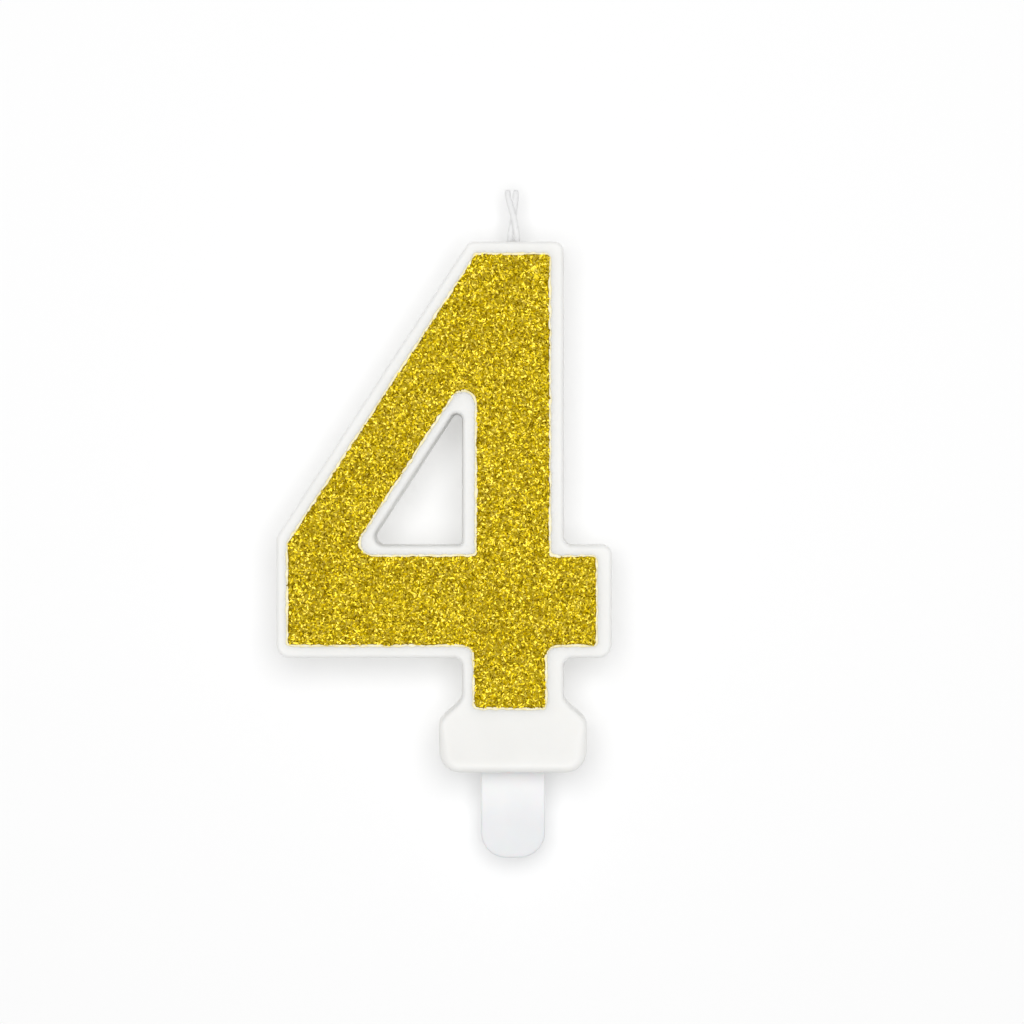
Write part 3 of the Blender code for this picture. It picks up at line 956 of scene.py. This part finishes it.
filmOutlines = raggedOutlines(face["glueMargin"], face["glueRagged"], 11)
film = makeFilm("glueFilm", filmOutlines, 0, face["glueRise"], 0.008 * mm, 12, 0.8 * mm)
pieces.append(place(film, "candle", "glue", glueFinish(), "glue_film"))
bedOutlines = raggedOutlines(face["bedMargin"], face["ragged"], 21)
bed = makeFilm("glitterBed", bedOutlines, face["glueRise"], face["bedRise"], 0.03 * mm, 13, 0.4 * mm)
pieces.append(place(bed, "candle", "glitter", bedFinish(), "glitter_coat"))
flakeLook = flakeFinish()
# the lower layer is painted darker, as in shade, and the top layer is painted lighter
lowFlakes = makeFlakes("glitterFlakesLow", 0.0, 16, -0.08, 40)
topFlakes = makeFlakes("glitterFlakesTop", 0.08 * mm, 30, 0.08, 41)
for flakes in (lowFlakes, topFlakes):
    pieces.append(place(flakes, "candle", "glitter", flakeLook))
    print("flakes laid:", len(flakes.data.polygons) // 10)

cotton = cottonFinish()
pieces.append(place(makePly("wickPlyLeft", 0), "candle", "cotton", cotton, "wick_ply_left"))
pieces.append(place(makePly("wickPlyRight", 1), "candle", "cotton", cotton, "wick_ply_right"))
pieces.append(place(makeFibres(), "candle", "cotton", cotton))
print("wick done")

pieces.append(place(makePick(), "pick", "frosted_plastic", pickFinish(), "pick"))
print("pick done")

# ---- stage, light and camera

stage = {
    "distance": 700 * mm,  # from the camera to the face
    "viewWidth": 135 * mm,  # what the frame takes in at the face
    "centre": (-0.13 * mm, 34.34 * mm),
    "sensorWidth": 36,
    "backdropGap": 0.05 * mm,
    "backdropReach": 0.8,
    "paper": 0.93,
    "dome": 0.5,
    "aim": (0, 0, 0.035),  # the spot that both lamps face
    "key": 2.45,
    "keySpot": (0.0, -0.6, 0.075),
    "keySize": 0.5,
    "backLight": 1.7,
    "backSpot": (-0.05, 0.6, 0.12),
    "backSize": 0.4,
}


def makeBackdrop():
    # one wide sheet just behind the candle, seen and lit from its front only
    y, reach, paper = waxBox[1][1] + stage["backdropGap"], stage["backdropReach"], stage["paper"]
    corners = np.array([(-reach, y, -reach), (reach, y, -reach), (reach, y, reach), (-reach, y, reach)])
    sheet = meshPiece("backdrop", corners, [np.array([(0, 1, 2, 3)])])
    finish = Finish("backdropPaper")
    lit = finish.node("BsdfPrincipled", {}, {
        "Base Color": (paper, paper, paper, 1), "Roughness": 0.9, "Specular IOR Level": 0.1
    })
    clear = finish.node("BsdfTransparent", {}, {})
    behind = finish.node("NewGeometry", {}, {}, "Backfacing")
    mix = finish.node("MixShader", {}, {0: behind, 1: lit, 2: clear})
    finish.node("OutputMaterial", {}, {"Surface": mix})
    sheet.data.materials.append(finish.material)
    return sheet


def makeLamp(name, spot, size, power):
    lamp = bpy.data.lights.new(name, "AREA")
    lamp.shape = "DISK"
    lamp.size = size
    lamp.energy = power
    holder = bpy.data.objects.new(name, lamp)
    holder.location = spot
    toward = Vector(stage["aim"]) - Vector(spot)
    holder.rotation_euler = toward.to_track_quat("-Z", "Y").to_euler()
    bpy.context.scene.collection.objects.link(holder)
    return holder


def makeLights(pieces):
    world = bpy.data.worlds.new("whiteDome")
    world.use_nodes = True
    world.node_tree.nodes["Background"].inputs["Color"].default_value = (1, 1, 1, 1)
    world.node_tree.nodes["Background"].inputs["Strength"].default_value = stage["dome"]
    bpy.context.scene.world = world
    makeLamp("keyLamp", stage["keySpot"], stage["keySize"], stage["key"])
    behind = makeLamp("backLamp", stage["backSpot"], stage["backSize"], stage["backLight"])
    behind.visible_glossy = False
    # this lamp lights the candle's back and isn't held up by the backdrop
    lit = bpy.data.collections.new("litFromBehind")
    for piece in pieces:
        lit.objects.link(piece)
    behind.light_linking.receiver_collection = lit
    behind.light_linking.blocker_collection = lit


def makeCamera():
    camera = bpy.data.cameras.new("camera")
    camera.sensor_width = stage["sensorWidth"]
    camera.lens = stage["sensorWidth"] * stage["distance"] / stage["viewWidth"]
    camera.clip_start = 0.01
    holder = bpy.data.objects.new("camera", camera)
    holder.location = (stage["centre"][0], faceY - stage["distance"], stage["centre"][1])
    holder.rotation_euler = (math.radians(90), 0, 0)
    bpy.context.scene.collection.objects.link(holder)
    bpy.context.scene.camera = holder


makeBackdrop()
makeLights(pieces)
makeCamera()
bpy.context.scene.view_settings.view_transform = "Standard"
print("stage done")
